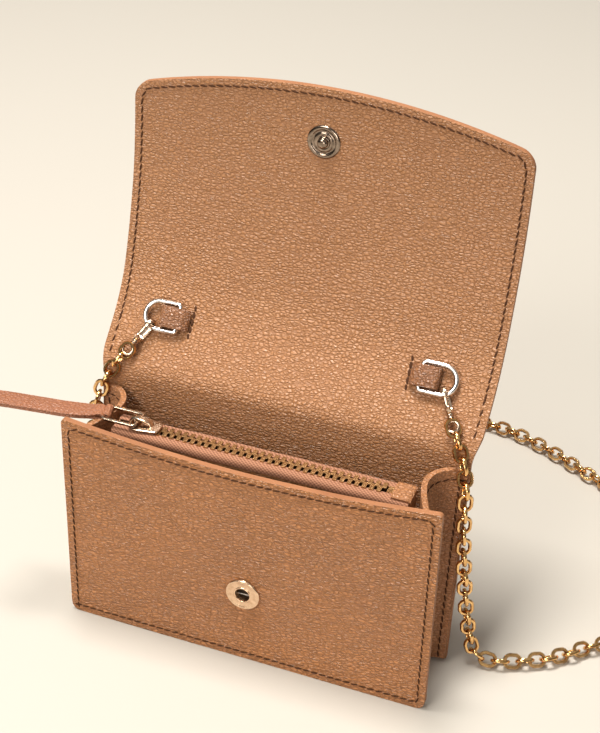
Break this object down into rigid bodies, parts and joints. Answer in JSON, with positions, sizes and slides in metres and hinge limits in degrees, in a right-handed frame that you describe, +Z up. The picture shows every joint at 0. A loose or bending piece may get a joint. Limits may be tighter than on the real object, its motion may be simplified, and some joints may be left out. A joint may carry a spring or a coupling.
{
  "type": "chain wallet",
  "caption": "Small leather flap wallet with a zipped coin pocket, a press snap and a detachable link chain clipped to D-rings under its flap.",
  "frame": {"origin": "middle of the base, on the surface that the wallet stands on", "axes": "+X to the wallet's right seen from its front, +Y to its back, +Z up"},
  "size_m": [0.2304, 0.1311, 0.1457],
  "materials": {
    "leather": "pebbled tan leather, satin",
    "lining": "pebbled tan leather, satin",
    "strap": "smooth tan leather",
    "zip_tape": "woven twill tape",
    "zip_brass": "aged brass",
    "gold": "polished pale gold plate",
    "nickel": "polished nickel plate",
    "spring_steel": "dull spring steel",
    "tie": "thin leather tie"
  },
  "bodies": {
    "wallet": {"front_panel": "leather", "front_lining": "lining", "back_panel": "leather", "back_lining": "lining", "base_panel": "leather", "left_gusset": "leather", "right_gusset": "leather", "coin_pocket_front": "lining", "coin_pocket_back": "lining", "coin_pocket_ends": "lining", "coin_pocket_base": "lining", "zip_tape_front": "zip_tape", "zip_tape_back": "zip_tape", "zip_teeth_front": "zip_brass", "zip_teeth_back": "zip_brass", "zip_stop_left": "zip_brass", "zip_stop_right": "zip_brass", "zip_end_tab": "leather", "snap_socket": "gold", "snap_washer": "gold", "snap_spring": "spring_steel", "chain_right": "gold", "chain_left": "gold", "chain_coil": "gold", "coil_tie": "tie"},
    "flap_base": {"flap_base_leather": "leather", "flap_base_lining": "lining", "left_ring_tab": "leather", "right_ring_tab": "leather"},
    "flap_front": {"flap_leather": "leather", "flap_lining": "lining", "snap_stud": "nickel", "snap_cap": "nickel"},
    "zip_slider": {"zip_slider_top": "zip_brass", "zip_slider_base": "zip_brass"},
    "zip_pull": {"zip_pull": "zip_brass"},
    "zip_strap": {"strap_leather": "strap"},
    "left_ring": {"left_d_ring": "nickel"},
    "left_hook": {"left_clip": "nickel", "left_gate_pin": "nickel"},
    "left_gate": {"left_gate": "nickel"},
    "left_swivel": {"left_eye": "gold"},
    "right_ring": {"right_d_ring": "nickel"},
    "right_hook": {"right_clip": "nickel", "right_gate_pin": "nickel"},
    "right_gate": {"right_gate": "nickel"},
    "right_swivel": {"right_eye": "gold"}
  },
  "joints": [
    {"name": "back_fold", "type": "hinge", "parent": "wallet", "child": "flap_base", "pos_m": [0, 0.01731, 0.067], "axis": [-1, 0, 0], "range_deg": [-126.95, 30]},
    {"name": "front_fold", "type": "hinge", "parent": "flap_base", "child": "flap_front", "pos_m": [0, 0.03454, 0.08991], "axis": [-1, 0, 0], "range_deg": [-62.6, 16]},
    {"name": "zip_slide", "type": "slide", "parent": "wallet", "child": "zip_slider", "axis": [1, 0, 0], "range_m": [0, 0.061]},
    {"name": "pull_lift", "type": "hinge", "parent": "zip_slider", "child": "zip_pull", "pos_m": [-0.0351, 0.0014, 0.063], "axis": [0, 1, 0], "range_deg": [0, 140]},
    {"name": "strap_lift", "type": "hinge", "parent": "zip_pull", "child": "zip_strap", "pos_m": [-0.0447, 0.0014, 0.063], "axis": [0, 1, 0], "range_deg": [0, 35]},
    {"name": "left_ring_lift", "type": "hinge", "parent": "flap_base", "child": "left_ring", "pos_m": [-0.0347, 0.02641, 0.08006], "axis": [0, 0.6126, 0.7904], "range_deg": [0, 140]},
    {"name": "left_hook_lift", "type": "hinge", "parent": "left_ring", "child": "left_hook", "pos_m": [-0.04223, 0.0243, 0.07734], "axis": [-0.8829, 0.332, 0.332], "range_deg": [0, 18]},
    {"name": "left_gate_open", "type": "hinge", "parent": "left_hook", "child": "left_gate", "pos_m": [-0.04401, 0.02033, 0.07656], "axis": [-0.8829, 0.332, 0.332], "range_deg": [0, 20], "stiffness_Nm_per_rad": 0.0005, "springref_deg": -17.19},
    {"name": "left_swivel_turn", "type": "hinge", "parent": "left_hook", "child": "left_swivel", "pos_m": [-0.04216, 0.024, 0.07783], "axis": [-0.4695, -0.6243, -0.6243], "continuous": true},
    {"name": "right_ring_lift", "type": "hinge", "parent": "flap_base", "child": "right_ring", "pos_m": [0.0347, 0.02641, 0.08006], "axis": [0, -0.6126, -0.7904], "range_deg": [0, 140]},
    {"name": "right_hook_lift", "type": "hinge", "parent": "right_ring", "child": "right_hook", "pos_m": [0.04223, 0.0243, 0.07734], "axis": [-0.8829, -0.332, -0.332], "range_deg": [0, 18]},
    {"name": "right_gate_open", "type": "hinge", "parent": "right_hook", "child": "right_gate", "pos_m": [0.04401, 0.02033, 0.07656], "axis": [-0.8829, -0.332, -0.332], "range_deg": [0, 20], "stiffness_Nm_per_rad": 0.0005, "springref_deg": -17.19},
    {"name": "right_swivel_turn", "type": "hinge", "parent": "right_hook", "child": "right_swivel", "pos_m": [0.04216, 0.024, 0.07783], "axis": [0.4695, -0.6243, -0.6243], "continuous": true}
  ],
  "couplings": [
    {"joint": "front_fold", "follows": "back_fold", "ratio": 0.49231}
  ]
}
